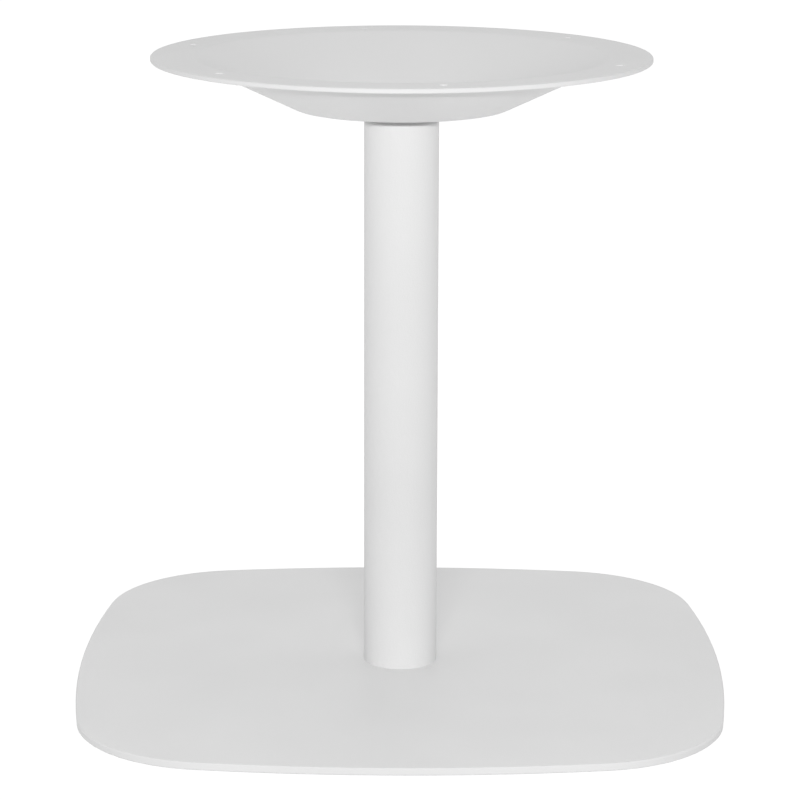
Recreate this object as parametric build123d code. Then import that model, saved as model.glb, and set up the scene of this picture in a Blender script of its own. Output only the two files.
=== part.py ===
from build123d import *
from math import atan2, sqrt, tan
import os

os.makedirs("parts", exist_ok=True)

# Pedestal base for a low table: a bowed-square floor plate, a round column and a flanged dish
# that the table top is screwed to. Origin on the floor under the column's axis, Z up.

# Base plate, flame-cut from sheet
PLATE_SIDE = 440.0
PLATE_THICKNESS = 5.0
SIDE_BOW_RADIUS = 930.0
CORNER_RADIUS = 95.0
PLATE_CHAMFER = 0.8

# Glides stuck under the plate, one in each corner
GLIDE_RADIUS = 15.0
GLIDE_THICKNESS = 1.5
GLIDE_INSET = 65.0

# Column tube, with a turned steel plug welded into each end
COLUMN_RADIUS = 25.0
TUBE_WALL = 2.0
COLUMN_LENGTH = 375.0
TUBE_END_CHAMFER = 0.6
FOOT_PLUG_LENGTH = 20.0
HEAD_PLUG_LENGTH = 20.0
NECK_RADIUS = 19.0
NECK_HEIGHT = 8.5

# Top dish, spun from one sheet: flat flange, sloping wall, flat bottom
DISH_RADIUS = 166.0
SHEET = 3.0
WALL_TOP_RADIUS = 138.0
WALL_BOTTOM_RADIUS = 71.0
WALL_DROP = 32.0
BEND_INNER_RADIUS = 6.0
RIM_CHAMFER = 0.5
TOP_HOLE_COUNT = 6
TOP_HOLE_CIRCLE = 300.0
TOP_HOLE_RADIUS = 2.5
TOP_HOLE_FIRST_ANGLE = 40.0
TOP_HOLE_RIM = 0.5

# Low-head cap screw and large washer that hold the dish on the column's neck
HEAD_SCREW_RADIUS = 5.0
HEAD_SCREW_LENGTH = 25.0
CAP_RADIUS = 8.0
CAP_HEIGHT = 6.0
CAP_SOCKET_FLATS = 7.0
CAP_SOCKET_DEPTH = 3.5
WASHER_INNER_RADIUS = 5.3
WASHER_OUTER_RADIUS = 15.0
WASHER_THICKNESS = 2.5
DISH_HOLE_RADIUS = 5.5

# Countersunk screw up through the plate into the foot plug
FOOT_SCREW_RADIUS = 5.0
FOOT_SCREW_LENGTH = 22.0
SINK_HEAD_RADIUS = 9.2
SINK_SOCKET_FLATS = 6.0
SINK_SOCKET_DEPTH = 3.0
PLATE_HOLE_RADIUS = 5.5

# Tapped holes are bored to the thread's outer size plus this gap
THREAD_GAP = 0.05
TAP_EXTRA_DEPTH = 3.0

# Heights that follow from the sizes above
PLATE_BOTTOM = GLIDE_THICKNESS
PLATE_TOP = PLATE_BOTTOM + PLATE_THICKNESS
COLUMN_TOP = PLATE_TOP + COLUMN_LENGTH
DISH_BOTTOM = COLUMN_TOP + NECK_HEIGHT
WALL_SLOPE = atan2(WALL_DROP, WALL_TOP_RADIUS - WALL_BOTTOM_RADIUS)
FLANGE_BOTTOM = DISH_BOTTOM + WALL_DROP
FLANGE_TOP = FLANGE_BOTTOM + SHEET
DISH_FLOOR = DISH_BOTTOM + SHEET
WASHER_TOP = DISH_FLOOR + WASHER_THICKNESS
BORE_RADIUS = COLUMN_RADIUS - TUBE_WALL


def rod(radius, length, bottom=0.0):
    """Round bar on the Z axis, standing on the height given."""
    return Pos(0, 0, bottom) * Cylinder(radius, length, align=(Align.CENTER, Align.CENTER, Align.MIN))


def cone(bottom_radius, top_radius, height, bottom=0.0):
    """Round taper on the Z axis, standing on the height given."""
    return Pos(0, 0, bottom) * Cone(
        bottom_radius, top_radius, height, align=(Align.CENTER, Align.CENTER, Align.MIN)
    )


def hex_socket(flats, depth, top):
    """Hexagonal recess that a key fits, cut down from the height given."""
    return Pos(0, 0, top - depth) * extrude(RegularPolygon(flats / 2, 6, major_radius=False), depth)


def plate_outline():
    """Square with four slightly bowed sides and large soft corners."""
    half = PLATE_SIDE / 2
    bow_centre = half - SIDE_BOW_RADIUS
    corner = (bow_centre + sqrt(2 * SIDE_BOW_RADIUS**2 - bow_centre**2)) / 2
    side = ThreePointArc((corner, -corner), (half, 0), (corner, corner))
    sides = [Rot(Z=turn) * side for turn in (0, 90, 180, 270)]
    square = make_face(sides)
    return fillet(square.vertices(), CORNER_RADIUS)


def base_plate():
    """Floor plate, with a countersunk hole in its middle that opens downwards."""
    plate = Pos(0, 0, PLATE_BOTTOM) * extrude(plate_outline(), PLATE_THICKNESS)
    levels = plate.edges().group_by(Axis.Z)
    plate = chamfer(levels[0] + levels[-1], PLATE_CHAMFER)
    sink_depth = SINK_HEAD_RADIUS - PLATE_HOLE_RADIUS
    hole = rod(PLATE_HOLE_RADIUS, PLATE_THICKNESS, PLATE_BOTTOM)
    hole += cone(SINK_HEAD_RADIUS, PLATE_HOLE_RADIUS, sink_depth, PLATE_BOTTOM)
    return plate - hole


def glide():
    """Round anti-slip pad, punched from sheet rubber."""
    return rod(GLIDE_RADIUS, GLIDE_THICKNESS)


def column_tube():
    """Round tube, deburred outside at its upper end."""
    tube = rod(COLUMN_RADIUS, COLUMN_LENGTH, PLATE_TOP)
    tube = chamfer(tube.edges().group_by(Axis.Z)[-1], TUBE_END_CHAMFER)
    return tube - rod(BORE_RADIUS, COLUMN_LENGTH, PLATE_TOP)


def foot_plug():
    """Turned plug flush with the tube's lower end, tapped from below."""
    plug = rod(BORE_RADIUS, FOOT_PLUG_LENGTH, PLATE_TOP)
    return plug - rod(FOOT_SCREW_RADIUS + THREAD_GAP, FOOT_PLUG_LENGTH, PLATE_TOP)


def head_plug():
    """Turned plug with a narrower neck that stands out of the tube, tapped from above."""
    plug = rod(BORE_RADIUS, HEAD_PLUG_LENGTH, COLUMN_TOP - HEAD_PLUG_LENGTH)
    plug += rod(NECK_RADIUS, NECK_HEIGHT, COLUMN_TOP)
    depth = HEAD_SCREW_LENGTH - WASHER_THICKNESS - SHEET + TAP_EXTRA_DEPTH
    return plug - rod(HEAD_SCREW_RADIUS + THREAD_GAP, depth, DISH_BOTTOM - depth)


def dish_section():
    """Half section of the dish, one sheet thick all along, with round bends."""
    shift = SHEET * tan(WALL_SLOPE / 2)
    under_low = (WALL_BOTTOM_RADIUS, DISH_BOTTOM)
    under_high = (WALL_TOP_RADIUS, FLANGE_BOTTOM)
    over_low = (WALL_BOTTOM_RADIUS - shift, DISH_FLOOR)
    over_high = (WALL_TOP_RADIUS - shift, FLANGE_TOP)
    rim = [(DISH_RADIUS, FLANGE_BOTTOM), (DISH_RADIUS, FLANGE_TOP)]
    axis = [(0, DISH_FLOOR), (0, DISH_BOTTOM)]
    section = make_face(Polyline(under_low, under_high, *rim, over_high, over_low, *axis, close=True))
    bends = [
        (under_low, BEND_INNER_RADIUS + SHEET),
        (over_low, BEND_INNER_RADIUS),
        (under_high, BEND_INNER_RADIUS),
        (over_high, BEND_INNER_RADIUS + SHEET),
    ]
    for point, radius in bends:
        section = fillet(section.vertices().sort_by_distance(point)[:1], radius)
    return chamfer(section.vertices().group_by(Axis.X)[-1], RIM_CHAMFER)


def top_hole():
    """Hole through the flange for a wood screw, deburred at its upper rim."""
    hole = rod(TOP_HOLE_RADIUS, SHEET, FLANGE_BOTTOM)
    rim_radius = TOP_HOLE_RADIUS + TOP_HOLE_RIM
    return hole + cone(TOP_HOLE_RADIUS, rim_radius, TOP_HOLE_RIM, FLANGE_TOP - TOP_HOLE_RIM)


def top_dish():
    """Flanged dish: screw holes for the table top in the flange, and one for the column in the bottom."""
    dish = revolve(Plane.XZ * dish_section(), Axis.Z)
    places = PolarLocations(TOP_HOLE_CIRCLE / 2, TOP_HOLE_COUNT, start_angle=TOP_HOLE_FIRST_ANGLE)
    dish -= [place * top_hole() for place in places]
    return dish - rod(DISH_HOLE_RADIUS, SHEET, DISH_BOTTOM)


def head_screw():
    """Low-head cap screw, its head's underside at height zero."""
    screw = rod(CAP_RADIUS, CAP_HEIGHT) + rod(HEAD_SCREW_RADIUS, HEAD_SCREW_LENGTH, -HEAD_SCREW_LENGTH)
    return screw - hex_socket(CAP_SOCKET_FLATS, CAP_SOCKET_DEPTH, CAP_HEIGHT)


def head_washer():
    """Plain washer, its underside at height zero."""
    return rod(WASHER_OUTER_RADIUS, WASHER_THICKNESS) - rod(WASHER_INNER_RADIUS, WASHER_THICKNESS)


def foot_screw():
    """Countersunk socket screw, pointing up, its flat head's face at height zero."""
    head_depth = SINK_HEAD_RADIUS - FOOT_SCREW_RADIUS
    screw = cone(SINK_HEAD_RADIUS, FOOT_SCREW_RADIUS, head_depth) + rod(FOOT_SCREW_RADIUS, FOOT_SCREW_LENGTH)
    return screw - hex_socket(SINK_SOCKET_FLATS, SINK_SOCKET_DEPTH, SINK_SOCKET_DEPTH)


def numbered(name, pieces):
    """Names a run of like pieces name_1, name_2 and so on."""
    return {f"{name}_{index}": piece for index, piece in enumerate(pieces, start=1)}


def assembly():
    """Every piece in its place, by node name."""
    glide_offset = PLATE_SIDE - 2 * GLIDE_INSET
    corners = GridLocations(glide_offset, glide_offset, 2, 2)
    return {
        "base_plate": base_plate(),
        "column_tube": column_tube(),
        "foot_plug": foot_plug(),
        "foot_screw": Pos(0, 0, PLATE_BOTTOM) * foot_screw(),
        "head_plug": head_plug(),
        "top_dish": top_dish(),
        "head_washer": Pos(0, 0, DISH_FLOOR) * head_washer(),
        "head_screw": Pos(0, 0, WASHER_TOP) * head_screw(),
        **numbered("glide", [corner * glide() for corner in corners]),
    }


for node, shape in assembly().items():
    export_step(shape, f"parts/{node}.step")
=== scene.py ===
"""Looks of a pedestal base for a low table: its coats, its small parts and the studio around it.

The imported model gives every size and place, in metres, with the floor at height zero.
"""

import logging
from dataclasses import dataclass
from enum import Enum
from math import cos, pi, radians, sin

import bpy
from mathutils import Matrix, Vector

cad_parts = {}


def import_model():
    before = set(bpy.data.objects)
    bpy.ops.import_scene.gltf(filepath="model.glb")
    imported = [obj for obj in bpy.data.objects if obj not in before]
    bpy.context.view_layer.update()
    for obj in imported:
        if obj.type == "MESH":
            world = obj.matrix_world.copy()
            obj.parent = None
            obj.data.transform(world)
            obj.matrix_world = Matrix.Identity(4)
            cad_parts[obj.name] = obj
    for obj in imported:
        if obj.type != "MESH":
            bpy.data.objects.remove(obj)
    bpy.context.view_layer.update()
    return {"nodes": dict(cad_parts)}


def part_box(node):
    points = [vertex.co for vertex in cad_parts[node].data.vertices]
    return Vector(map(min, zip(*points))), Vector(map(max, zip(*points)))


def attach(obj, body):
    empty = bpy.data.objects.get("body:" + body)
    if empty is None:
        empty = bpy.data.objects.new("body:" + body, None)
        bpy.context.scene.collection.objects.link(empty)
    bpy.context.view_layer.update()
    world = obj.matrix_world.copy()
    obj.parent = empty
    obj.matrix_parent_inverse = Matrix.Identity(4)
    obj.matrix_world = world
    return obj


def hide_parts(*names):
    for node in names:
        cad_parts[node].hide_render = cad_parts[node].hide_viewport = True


log = logging.getLogger("table base")

MM = 0.001
# A wave pattern repeats every pi / 10 of a unit at scale 1
WAVE_REPEAT = pi / 10
# Where a pattern's middle values start and end
TONE_STOPS = (0.3, 0.7)
WHITE = (1.0, 1.0, 1.0, 1.0)
# Edges that turn by more than this, in degrees, stay sharp
SHARP_ANGLE = 32

# Sizes of the small pieces below are in millimetres.
# Ridges round a knurled head, their depth, and the length over which they start
KNURL_COUNT = 40
KNURL_DEPTH = 0.12
KNURL_RUN_IN = 0.05
# Depth of a screw's thread, and the taper at its end
THREAD_DEPTH = 0.75
END_TAPER = 0.9
# How far inside the threaded length the groove starts, at the screw's end and at its head
END_INSET = 0.1
NECK_INSET = 0.2
# A key socket: how far its mouth opens over the flats, the depth of that chamfer, the point of the
# drill, and how much the floor draws in over its edge
SOCKET_MOUTH = 1.18
SOCKET_CHAMFER = 0.25
DRILL_RADIUS = 0.3
FLOOR_SHARE = 0.96
FLOOR_EDGE = 0.1


def linear(colour: str) -> tuple[float, float, float, float]:
    """Turns an sRGB hex colour into linear light.

    Args:
        colour: Colour such as "#E3E3E2".

    Returns:
        Red, green and blue from 0 to 1 in linear light, and a full alpha.
    """
    parts = [int(colour[start:start + 2], 16) / 255 for start in (1, 3, 5)]
    red, green, blue = (part / 12.92 if part <= 0.04045 else ((part + 0.055) / 1.055) ** 2.4 for part in parts)
    return red, green, blue, 1.0


def per_metre(spacing_mm: float) -> float:
    """Gives the pattern scale, in repeats a metre, for a spacing in millimetres."""
    return 1 / (spacing_mm * MM)


def add_node(tree: bpy.types.NodeTree, kind: str, inputs: dict | None = None, **settings: object) -> bpy.types.Node:
    """Adds a node to a tree, sets it up and links it.

    Args:
        tree: Node tree that gets the node.
        kind: Blender's name of the node's type.
        inputs: For each input's name or number, the value it is set to or the output it is linked from.
        settings: Other properties of the node.

    Returns:
        The new node.
    """
    node = tree.nodes.new(kind)
    for name, value in settings.items():
        setattr(node, name, value)
    for name, value in (inputs or {}).items():
        if isinstance(value, bpy.types.NodeSocket):
            tree.links.new(value, node.inputs[name])
        else:
            node.inputs[name].default_value = value
    return node


def blank_material(name: str) -> tuple[bpy.types.Material, bpy.types.NodeTree, bpy.types.Node]:
    """Makes a material that holds only a surface shader.

    Args:
        name: Name of the real material.

    Returns:
        The material, its node tree and its surface shader.
    """
    material = bpy.data.materials.new(name)
    material.use_nodes = True
    tree = material.node_tree
    tree.nodes.clear()
    shader = add_node(tree, "ShaderNodeBsdfPrincipled")
    add_node(tree, "ShaderNodeOutputMaterial", {"Surface": shader.outputs["BSDF"]})
    return material, tree, shader


def noise(tree: bpy.types.NodeTree, place: bpy.types.NodeSocket, size_mm: float, detail: float) -> bpy.types.NodeSocket:
    """Lays an uneven pattern.

    Args:
        tree: Node tree of the material.
        place: Place on the part.
        size_mm: Distance between its patches in millimetres.
        detail: How many finer layers it has.

    Returns:
        The pattern's output, from 0 to 1.
    """
    inputs = {"Vector": place, "Scale": per_metre(size_mm), "Detail": detail}
    return add_node(tree, "ShaderNodeTexNoise", inputs).outputs["Fac"]


def bands(
    tree: bpy.types.NodeTree, place: bpy.types.NodeSocket, spacing_mm: float, wander: float, direction: str
) -> bpy.types.NodeSocket:
    """Lays parallel bands.

    Args:
        tree: Node tree of the material.
        place: Place on the part.
        spacing_mm: Distance between bands in millimetres.
        wander: How far the bands stray from straight.
        direction: Axis that they are spaced along: "X", "Y" or "Z".

    Returns:
        The pattern's output, from 0 to 1.
    """
    inputs = {"Vector": place, "Scale": per_metre(spacing_mm) * WAVE_REPEAT, "Distortion": wander}
    return add_node(tree, "ShaderNodeTexWave", inputs, bands_direction=direction).outputs["Fac"]


def two_tones(tree: bpy.types.NodeTree, pattern: bpy.types.NodeSocket, low: str, high: str) -> bpy.types.NodeSocket:
    """Runs from one colour to another over a pattern's middle values.

    Args:
        tree: Node tree of the material.
        pattern: Pattern from 0 to 1.
        low: Hex colour where the pattern is low.
        high: Hex colour where the pattern is high.

    Returns:
        The colour output.
    """
    ramp = add_node(tree, "ShaderNodeValToRGB", {"Fac": pattern})
    for stop, position, colour in zip(ramp.color_ramp.elements, TONE_STOPS, (low, high)):
        stop.position = position
        stop.color = linear(colour)
    return ramp.outputs["Color"]


def relief(tree: bpy.types.NodeTree, patterns: list[tuple[bpy.types.NodeSocket, float]]) -> bpy.types.NodeSocket:
    """Stacks patterns into one surface relief.

    Args:
        tree: Node tree of the material.
        patterns: Each pattern with its height in millimetres.

    Returns:
        The normal output of the last one.
    """
    normal = None
    for pattern, height_mm in patterns:
        inputs = {"Height": pattern, "Strength": 1.0, "Distance": height_mm * MM}
        if normal:
            inputs["Normal"] = normal
        normal = add_node(tree, "ShaderNodeBump", inputs).outputs["Normal"]
    return normal


@dataclass(frozen=True)
class PowderCoat:
    """White polyester powder, sprayed on steel and baked.

    The melted powder sets as a satin skin with shallow orange-peel waves and a fine grain, which
    breaks up every reflection into a soft sheen.
    """

    name: str = "powder-coated steel"
    colour: str = "#E7E7E7"
    thin_colour: str = "#E4E4E4"
    roughness: float = 0.46
    ior: float = 1.5
    cloud_mm: float = 90.0
    peel_mm: float = 2.6
    peel_height_mm: float = 0.06
    grain_mm: float = 0.8
    grain_height_mm: float = 0.10

    def make(self) -> bpy.types.Material:
        """Builds the material.

        Returns:
            The coat, with its pattern laid in the part's own millimetres.
        """
        material, tree, shader = blank_material(self.name)
        place = add_node(tree, "ShaderNodeTexCoord").outputs["Object"]
        # The skin is a touch thinner in wide patches, where a little of the grey steel comes through
        cloud = noise(tree, place, self.cloud_mm, 1.0)
        peel = noise(tree, place, self.peel_mm, 1.0)
        # Real powder grain is 0.1 to 0.3 mm across, and is drawn at 0.8 mm so that it shows
        grain = noise(tree, place, self.grain_mm, 2.0)
        tint = two_tones(tree, cloud, self.thin_colour, self.colour)
        skin = relief(tree, [(peel, self.peel_height_mm), (grain, self.grain_height_mm)])
        tree.links.new(tint, shader.inputs["Base Color"])
        tree.links.new(skin, shader.inputs["Normal"])
        shader.inputs["Roughness"].default_value = self.roughness
        shader.inputs["IOR"].default_value = self.ior
        return material


@dataclass(frozen=True)
class ZincPlate:
    """Bright zinc, plated on small steel hardware and passivated.

    It is a cool silver metal with a slight bluish cast, softly mottled from the plating bath.
    """

    name: str = "zinc-plated steel"
    colour: str = "#D3D6DA"
    dull_colour: str = "#B9BCC0"
    roughness: tuple[float, float] = (0.26, 0.40)
    mottle_mm: float = 1.6
    scratch_mm: float = 0.35
    scratch_height_mm: float = 0.004

    def make(self) -> bpy.types.Material:
        """Builds the material.

        Returns:
            The plating, mottled in the part's own millimetres.
        """
        material, tree, shader = blank_material(self.name)
        place = add_node(tree, "ShaderNodeTexCoord").outputs["Object"]
        mottle = noise(tree, place, self.mottle_mm, 3.0)
        scratch = noise(tree, place, self.scratch_mm, 2.0)
        # Handling has rubbed the plating, so its roughness wanders by a few hundredths
        smooth, rough = self.roughness
        wear = add_node(tree, "ShaderNodeMapRange", {"Value": mottle, "To Min": smooth, "To Max": rough})
        tint = two_tones(tree, mottle, self.dull_colour, self.colour)
        tree.links.new(tint, shader.inputs["Base Color"])
        tree.links.new(wear.outputs["Result"], shader.inputs["Roughness"])
        tree.links.new(relief(tree, [(scratch, self.scratch_height_mm)]), shader.inputs["Normal"])
        shader.inputs["Metallic"].default_value = 1.0
        return material


@dataclass(frozen=True)
class TurnedSteel:
    """Mild steel, turned on a lathe and oiled.

    Fine rings left by the tool run round its axis, under a thin oil film, with painted shade darkening their bottoms.
    """

    name: str = "turned steel"
    colour: str = "#B4B1AC"
    painted_groove_shade: str = "#8E8B86"
    roughness: float = 0.38
    feed_mm: float = 0.6
    feed_height_mm: float = 0.01
    feed_wander: float = 0.4

    def make(self) -> bpy.types.Material:
        """Builds the material.

        Returns:
            The steel, with rings a tool feed apart up the part's own axis.
        """
        material, tree, shader = blank_material(self.name)
        place = add_node(tree, "ShaderNodeTexCoord").outputs["Object"]
        # The real feed is 0.1 to 0.2 mm a turn, and is drawn at 0.6 mm so that it shows
        rings = bands(tree, place, self.feed_mm, self.feed_wander, "Z")
        # The ring bottoms take the darker colour: painted shade in the grooves
        tree.links.new(two_tones(tree, rings, self.painted_groove_shade, self.colour), shader.inputs["Base Color"])
        tree.links.new(relief(tree, [(rings, self.feed_height_mm)]), shader.inputs["Normal"])
        shader.inputs["Metallic"].default_value = 1.0
        shader.inputs["Roughness"].default_value = self.roughness
        return material


@dataclass(frozen=True)
class PadRubber:
    """Black styrene rubber, calendered in sheet and punched.

    It is a dull charcoal black, a little dusty, with the fine cloth print that the sheet is pressed on.
    """

    name: str = "styrene rubber"
    colour: str = "#2B2B2B"
    dust_colour: str = "#3A3A39"
    roughness: float = 0.82
    ior: float = 1.52
    print_mm: float = 0.7
    print_height_mm: float = 0.03
    print_wander: float = 0.3
    dust_mm: float = 6.0

    def make(self) -> bpy.types.Material:
        """Builds the material.

        Returns:
            The rubber, printed in the part's own millimetres.
        """
        material, tree, shader = blank_material(self.name)
        place = add_node(tree, "ShaderNodeTexCoord").outputs["Object"]
        weave = [bands(tree, place, self.print_mm, self.print_wander, direction) for direction in ("X", "Y")]
        dust = noise(tree, place, self.dust_mm, 4.0)
        tree.links.new(two_tones(tree, dust, self.colour, self.dust_colour), shader.inputs["Base Color"])
        tree.links.new(relief(tree, [(one, self.print_height_mm) for one in weave]), shader.inputs["Normal"])
        shader.inputs["Roughness"].default_value = self.roughness
        shader.inputs["IOR"].default_value = self.ior
        return material


class Outline(Enum):
    """Outline of one ring of a turned piece, seen along its axis."""

    ROUND = "round"
    KNURLED = "knurled"
    HEXAGON = "hexagon"


@dataclass(frozen=True)
class Ring:
    """One ring of a turned piece.

    Its size is a radius, or half the width across flats of a hexagon. Sizes are in millimetres.
    """

    size: float
    height: float
    outline: Outline = Outline.ROUND

    def radius(self, turn: float) -> float:
        """Gives the distance from the axis.

        Args:
            turn: Angle round the axis, in radians.

        Returns:
            The radius in millimetres.
        """
        if self.outline is Outline.HEXAGON:
            return self.size / cos((turn % (pi / 3)) - pi / 6)
        if self.outline is Outline.KNURLED:
            return self.size - KNURL_DEPTH * abs(((turn * KNURL_COUNT / (2 * pi)) % 1.0) * 2 - 1)
        return self.size


def threaded(radius: float, pitch: float, bottom: float, top: float, steps: int = 8) -> list[Ring]:
    """Gives plain rings along a threaded length, which the mesh then winds into a helix.

    Args:
        radius: Outer radius of the thread in millimetres.
        pitch: Rise a turn in millimetres.
        bottom: Lower end.
        top: Upper end.
        steps: Rings a pitch.

    Returns:
        The rings from the bottom up.
    """
    count = round((top - bottom) / pitch * steps)
    return [Ring(radius, bottom + (top - bottom) * index / count) for index in range(count + 1)]


@dataclass(frozen=True)
class TurnedPiece:
    """A piece made of rings stacked along the Z axis and closed at both ends."""

    name: str
    rings: tuple[Ring, ...]
    segments: int
    pitch: float = 0.0
    thread_depth: float = 0.0
    thread_ends: tuple[float, float] = (0.0, 0.0)

    def mesh(self) -> bpy.types.Mesh:
        """Builds the closed mesh, in metres.

        Returns:
            The mesh, smooth on its curves and sharp at its edges.
        """
        points = [(0.0, 0.0, self.rings[0].height * MM)]
        for ring in self.rings:
            for step in range(self.segments):
                turn = 2 * pi * step / self.segments
                out = (ring.radius(turn) - self._groove(ring.height, turn)) * MM
                points.append((out * cos(turn), out * sin(turn), ring.height * MM))
        points.append((0.0, 0.0, self.rings[-1].height * MM))
        mesh = bpy.data.meshes.new(self.name)
        mesh.from_pydata(points, [], self._faces(len(points)))
        mesh.validate()
        mesh.shade_smooth()
        mesh.set_sharp_from_angle(angle=radians(SHARP_ANGLE))
        return mesh

    def _groove(self, height: float, turn: float) -> float:
        """Gives the depth of the thread's groove at one place.

        Args:
            height: Height in millimetres.
            turn: Angle round the axis, in radians.

        Returns:
            The depth in millimetres, and 0 outside the thread.
        """
        low, high = self.thread_ends
        if not low < height < high:
            return 0.0
        return self.thread_depth * abs(((height / self.pitch - turn / (2 * pi)) % 1.0) * 2 - 1)

    def _faces(self, point_count: int) -> list[tuple[int, ...]]:
        """Joins each ring to the next, and the end rings to their middles.

        Args:
            point_count: Number of points, with the two middles.

        Returns:
            The faces, all facing outwards.
        """
        faces = []
        last = point_count - 1
        for step in range(self.segments):
            after = (step + 1) % self.segments
            faces.append((0, 1 + after, 1 + step))
            for row in range(len(self.rings) - 1):
                low, high = 1 + row * self.segments, 1 + (row + 1) * self.segments
                faces.append((low + step, low + after, high + after, high + step))
            top = 1 + (len(self.rings) - 1) * self.segments
            faces.append((top + step, top + after, last))
        return faces


def stand(mesh: bpy.types.Mesh, node: str, place: Vector, material: bpy.types.Material) -> bpy.types.Object:
    """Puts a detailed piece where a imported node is, in its stead.

    Args:
        mesh: Mesh of the piece about its own origin.
        node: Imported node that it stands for.
        place: Where its origin goes.
        material: Its finish.

    Returns:
        The new piece, riding on the root body.
    """
    mesh.transform(Matrix.Translation(place))
    mesh.materials.append(material)
    piece = bpy.data.objects.new(f"{node}_detail", mesh)
    bpy.context.scene.collection.objects.link(piece)
    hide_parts(node)
    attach(piece, "root")
    log.info("%s: %d faces, stands for %s", piece.name, len(mesh.polygons), node)
    return piece


def dress(node: bpy.types.Object, material: bpy.types.Material) -> None:
    """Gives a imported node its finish.

    Args:
        node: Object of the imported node.
        material: Its finish.
    """
    for index in range(len(node.data.materials)):
        node.data.materials[index] = material
    log.info("%s: %s", node.name, material.name)


def middle(node: str) -> Vector:
    """Gives the point under a node's middle, at its lowest height."""
    low, high = (Vector(corner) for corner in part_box(node))
    return Vector(((low.x + high.x) / 2, (low.y + high.y) / 2, low.z))


@dataclass
class FloorPlate:
    """Floor plate with its countersunk screw and its anti-slip pads."""

    nodes: dict
    coat: bpy.types.Material
    plating: bpy.types.Material
    rubber: bpy.types.Material
    pad_radius: float = 15.0
    pad_thickness: float = 1.5
    pad_edge: float = 0.3
    pad_edge_steps: int = 4
    pad_segments: int = 96
    groove_pitch: float = 2.5
    groove_depth: float = 0.35
    groove_half: float = 0.5
    screw_radius: float = 5.0
    screw_pitch: float = 1.5
    screw_length: float = 22.0
    plain_length: float = 1.0
    head_radius: float = 9.2
    head_edge: float = 0.2
    face_inset: float = 0.3
    socket_flats: float = 6.0
    socket_depth: float = 3.0
    drill_depth: float = 1.0
    segments: int = 84

    def build(self) -> None:
        """Dresses the plate and builds its screw and pads."""
        dress(self.nodes["base_plate"], self.coat)
        stand(self._screw(), "foot_screw", middle("foot_screw"), self.plating)
        for name in sorted(self.nodes):
            if name.startswith("glide_"):
                stand(self._pad(name), name, middle(name), self.rubber)

    def _pad(self, name: str) -> bpy.types.Mesh:
        """Builds a pad with ring grooves moulded in its underside.

        Args:
            name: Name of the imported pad.

        Returns:
            The mesh, standing on height zero.
        """
        rings = []
        groove = self.groove_pitch
        while groove < self.pad_radius - self.groove_pitch / 2:
            rings += [Ring(groove - self.groove_half, 0.0), Ring(groove - self.groove_half / 2, self.groove_depth)]
            rings += [Ring(groove + self.groove_half / 2, self.groove_depth), Ring(groove + self.groove_half, 0.0)]
            groove += self.groove_pitch
        for step in range(self.pad_edge_steps + 1):
            turn = pi / 2 * step / self.pad_edge_steps
            rings.append(Ring(self.pad_radius - self.pad_edge * (1 - sin(turn)), self.pad_edge * (1 - cos(turn))))
        rings.append(Ring(self.pad_radius, self.pad_thickness))
        return TurnedPiece(name, tuple(rings), self.pad_segments).mesh()

    def _screw(self) -> bpy.types.Mesh:
        """Builds the countersunk screw, its head down.

        Returns:
            The mesh, its head's face at height zero.
        """
        flats = self.socket_flats / 2
        head_top = self.head_radius - self.screw_radius
        neck = head_top + self.plain_length
        end = self.screw_length
        rings = [
            Ring(DRILL_RADIUS, self.socket_depth + self.drill_depth),
            Ring(flats * FLOOR_SHARE, self.socket_depth, Outline.HEXAGON),
            Ring(flats, self.socket_depth - FLOOR_EDGE, Outline.HEXAGON),
            Ring(flats, SOCKET_CHAMFER, Outline.HEXAGON),
            Ring(flats * SOCKET_MOUTH, 0.0),
            Ring(self.head_radius - self.face_inset, 0.0),
            Ring(self.head_radius - self.head_edge, self.head_edge),
            Ring(self.screw_radius, head_top),
            *threaded(self.screw_radius, self.screw_pitch, neck, end - END_TAPER),
            Ring(self.screw_radius - END_TAPER, end),
        ]
        ends = (neck + NECK_INSET, end - END_TAPER - END_INSET)
        return TurnedPiece("foot_screw", tuple(rings), self.segments, self.screw_pitch, THREAD_DEPTH, ends).mesh()


@dataclass
class Column:
    """Round tube with a turned plug welded into each end."""

    nodes: dict
    coat: bpy.types.Material
    steel: bpy.types.Material

    def build(self) -> None:
        """Dresses the tube and the plugs."""
        dress(self.nodes["column_tube"], self.coat)
        dress(self.nodes["head_plug"], self.coat)
        dress(self.nodes["foot_plug"], self.steel)


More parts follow.
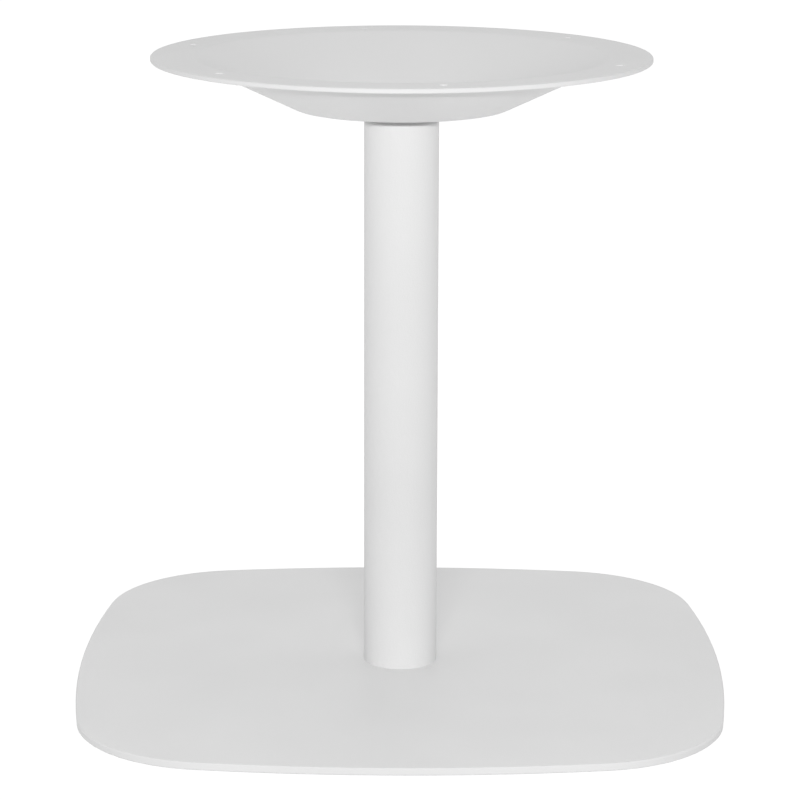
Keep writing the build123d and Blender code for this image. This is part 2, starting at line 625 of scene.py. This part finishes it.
@dataclass
class TopDish:
    """Flanged dish with the cap screw and washer that hold it on the column."""

    nodes: dict
    coat: bpy.types.Material
    plating: bpy.types.Material
    screw_radius: float = 5.0
    screw_pitch: float = 1.5
    screw_length: float = 25.0
    plain_length: float = 1.2
    head_radius: float = 8.0
    head_height: float = 6.0
    low_edge: float = 0.25
    # From the head's underside up to the knurl, and from the knurl up to the head's face
    knurl_insets: tuple[float, float] = (0.55, 0.7)
    # Inset and drop of each point along the rounded upper edge
    top_edge: tuple[tuple[float, float], ...] = ((0.0, 0.6), (0.08, 0.3), (0.5, 0.0))
    socket_flats: float = 7.0
    socket_depth: float = 3.5
    drill_depth: float = 0.8
    segments: int = 160

    def build(self) -> None:
        """Dresses the dish and the washer, and builds the screw."""
        dress(self.nodes["top_dish"], self.coat)
        dress(self.nodes["head_washer"], self.plating)
        place = middle("head_screw") + Vector((0.0, 0.0, self.screw_length * MM))
        stand(self._screw(), "head_screw", place, self.plating)

    def _screw(self) -> bpy.types.Mesh:
        """Builds the low-head cap screw, with a knurled head.

        Returns:
            The mesh, its head's underside at height zero.
        """
        flats = self.socket_flats / 2
        top = self.head_height
        floor = top - self.socket_depth
        knurl_low, knurl_high = self.knurl_insets
        rings = [
            Ring(self.screw_radius - END_TAPER, -self.screw_length),
            *threaded(self.screw_radius, self.screw_pitch, END_TAPER - self.screw_length, -self.plain_length),
            Ring(self.screw_radius, 0.0),
            Ring(self.head_radius - self.low_edge, 0.0),
            Ring(self.head_radius, self.low_edge),
            Ring(self.head_radius, knurl_low - KNURL_RUN_IN),
            Ring(self.head_radius, knurl_low, Outline.KNURLED),
            Ring(self.head_radius, top - knurl_high, Outline.KNURLED),
            *(Ring(self.head_radius - inset, top - drop) for inset, drop in self.top_edge),
            Ring(flats * SOCKET_MOUTH, top),
            Ring(flats, top - SOCKET_CHAMFER, Outline.HEXAGON),
            Ring(flats, floor + FLOOR_EDGE, Outline.HEXAGON),
            Ring(flats * FLOOR_SHARE, floor, Outline.HEXAGON),
            Ring(DRILL_RADIUS, floor - self.drill_depth),
        ]
        ends = (END_TAPER + END_INSET - self.screw_length, -self.plain_length - NECK_INSET)
        return TurnedPiece("head_screw", tuple(rings), self.segments, self.screw_pitch, THREAD_DEPTH, ends).mesh()


@dataclass
class Studio:
    """Pale floor, soft lights and the camera at the photograph's viewing angle, in metres and degrees."""

    floor_radius: float = 40.0
    floor_opening: float = 0.205
    opening_squareness: float = 5.0
    cove_start: float = 0.9
    cove_height: float = 0.4
    cove_steps: int = 16
    sheet_gap: float = 0.001
    sheet_steps: int = 256
    paper_colour: str = "#A6A6A6"
    paper_roughness: float = 0.9
    floor_glow: float = 0.82
    backdrop_glow: float = 1.0
    tent_front: float = 0.26
    tent_back: float = 1.0
    floor_bounce: float = 0.33
    lamp_size: tuple[float, float] = (0.60, 0.05)
    lamp_lift: float = 0.10
    lamp_aim: float = 0.22
    lamp_power: float = 27.0
    lens_mm: float = 140.34
    camera_place: tuple[float, float, float] = (0.0, -2.0583, 0.6854)
    camera_pitch: float = 13.53
    camera_roll: float = 0.16
    camera_shift: float = -0.00104
    sensor_mm: float = 36.0
    sight_end: float = 200.0

    def build(self) -> None:
        """Builds the floor, the backdrop, the lights and the camera."""
        # The floor is open just inside the plate's outline, so that the underside shows from below
        opening = self._ring(self.floor_opening, 0.0, self.opening_squareness)
        floor = self._sheet("studio_floor", [opening, self._ring(self.floor_radius, 0.0)], self.floor_glow)
        rise = []
        for step in range(self.cove_steps + 1):
            turn = pi / 2 * step / self.cove_steps
            reach = self.floor_radius * (self.cove_start + (1 - self.cove_start) * sin(turn))
            rise.append(self._ring(reach, self.floor_radius * self.cove_height * (1 - cos(turn)) + self.sheet_gap))
        rise.append(self._ring(self.floor_radius, self.floor_radius))
        backdrop = self._sheet("studio_backdrop", rise, self.backdrop_glow)
        for sheet in (floor, backdrop):
            # Only the camera sees the sheets, and the tent's light comes through them
            sheet.visible_diffuse = sheet.visible_glossy = sheet.visible_shadow = False
        self._tent()
        self._camera()
        self._lamp(floor)

    def _ring(self, reach: float, height: float, squareness: float = 2.0) -> list[tuple[float, float, float]]:
        """Gives the points of one level ring round the studio's middle, in metres.

        Args:
            reach: Distance from the axis square to the plate's sides.
            height: Height above the floor.
            squareness: 2 for a circle, and more for a rounded square.

        Returns:
            The points, counterclockwise from above.
        """
        points = []
        for step in range(self.sheet_steps):
            turn = 2 * pi * step / self.sheet_steps
            across, along = cos(turn), sin(turn)
            size = reach / (abs(across) ** squareness + abs(along) ** squareness) ** (1 / squareness)
            points.append((size * across, size * along, height))
        return points

    def _sheet(self, name: str, rings: list[list[tuple[float, float, float]]], glow: float) -> bpy.types.Object:
        """Joins rings of points into a pale paper sheet.

        Args:
            name: Name of the sheet.
            rings: Points of each ring, in metres.
            glow: Strength of the light that comes through the paper.

        Returns:
            The sheet.
        """
        count = self.sheet_steps
        points = [point for ring in rings for point in ring]
        faces = [
            (row * count + step, row * count + (step + 1) % count,
             (row + 1) * count + (step + 1) % count, (row + 1) * count + step)
            for row in range(len(rings) - 1) for step in range(count)
        ]
        mesh = bpy.data.meshes.new(name)
        mesh.from_pydata(points, [], faces)
        mesh.materials.append(self._paper(name, glow))
        sheet = bpy.data.objects.new(name, mesh)
        bpy.context.scene.collection.objects.link(sheet)
        return sheet

    def _paper(self, name: str, glow: float) -> bpy.types.Material:
        """Makes pale matt paper, lit through from behind, which keeps the ground white.

        Args:
            name: Name of the sheet.
            glow: Strength of the light that comes through.

        Returns:
            The paper.
        """
        material, tree, shader = blank_material(f"{name} paper")
        shader.inputs["Base Color"].default_value = linear(self.paper_colour)
        shader.inputs["Roughness"].default_value = self.paper_roughness
        shader.inputs["Specular IOR Level"].default_value = 0.0
        shader.inputs["Emission Color"].default_value = WHITE
        shader.inputs["Emission Strength"].default_value = glow
        return material

    def _tent(self) -> None:
        """Wraps the studio in a white tent, dim round the camera and bright behind the table and under it."""
        world = bpy.data.worlds.new("studio")
        world.use_nodes = True
        tree = world.node_tree
        way = add_node(tree, "ShaderNodeTexCoord").outputs["Generated"]
        split = add_node(tree, "ShaderNodeSeparateXYZ", {"Vector": way})
        walls = add_node(tree, "ShaderNodeMapRange", {
            "Value": split.outputs["Y"], "From Min": -1.0, "From Max": 1.0,
            "To Min": self.tent_front, "To Max": self.tent_back,
        })
        bounce = add_node(tree, "ShaderNodeMapRange", {
            "Value": split.outputs["Z"], "From Min": -1.0, "From Max": 0.0,
            "To Min": self.floor_bounce, "To Max": 0.0,
        })
        level = add_node(tree, "ShaderNodeMath", {0: walls.outputs["Result"], 1: bounce.outputs["Result"]})
        tree.links.new(level.outputs[0], tree.nodes["Background"].inputs["Strength"])
        tree.nodes["Background"].inputs["Color"].default_value = WHITE
        bpy.context.scene.world = world

    def _lamp(self, floor: bpy.types.Object) -> None:
        """Hangs a strip lamp just above the lens, flagged off the floor.

        Args:
            floor: The floor, which the lamp's light doesn't reach.
        """
        data = bpy.data.lights.new("lens_strip", "AREA")
        data.shape = "RECTANGLE"
        data.size, data.size_y = self.lamp_size
        data.energy = self.lamp_power
        lamp = bpy.data.objects.new("lens_strip", data)
        place = Vector(self.camera_place) + Vector((0.0, 0.0, self.lamp_lift))
        aim = Vector((0.0, 0.0, self.lamp_aim))
        lamp.matrix_world = Matrix.Translation(place) @ (aim - place).to_track_quat("-Z", "Y").to_matrix().to_4x4()
        # The lamp lights but isn't reflected, as with crossed polarising films on lamp and lens
        lamp.visible_camera = lamp.visible_glossy = False
        bpy.context.scene.collection.objects.link(lamp)
        flagged = bpy.data.collections.new("off the strip lamp")
        flagged.objects.link(floor)
        lamp.light_linking.receiver_collection = flagged
        flagged.collection_objects[0].light_linking.link_state = "EXCLUDE"

    def _camera(self) -> None:
        """Sets the camera up at the photograph's viewing angle."""
        data = bpy.data.cameras.new("camera")
        data.sensor_width = self.sensor_mm
        data.lens = self.lens_mm
        data.shift_x = self.camera_shift
        data.clip_end = self.sight_end
        camera = bpy.data.objects.new("camera", data)
        tilt = Matrix.Rotation(radians(90.0 - self.camera_pitch), 4, "X")
        roll = Matrix.Rotation(radians(self.camera_roll), 4, "Z")
        camera.matrix_world = Matrix.Translation(self.camera_place) @ tilt @ roll
        bpy.context.scene.collection.objects.link(camera)
        bpy.context.scene.camera = camera


def main() -> None:
    """Loads the frame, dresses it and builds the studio."""
    logging.basicConfig(level=logging.INFO, format="%(name)s: %(message)s")
    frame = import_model()
    nodes = frame["nodes"]
    coat = PowderCoat().make()
    plating = ZincPlate().make()
    FloorPlate(nodes, coat, plating, PadRubber().make()).build()
    Column(nodes, coat, TurnedSteel().make()).build()
    TopDish(nodes, coat, plating).build()
    Studio().build()
    bpy.context.scene.view_settings.view_transform = "Standard"


if __name__ == "__main__":
    main()
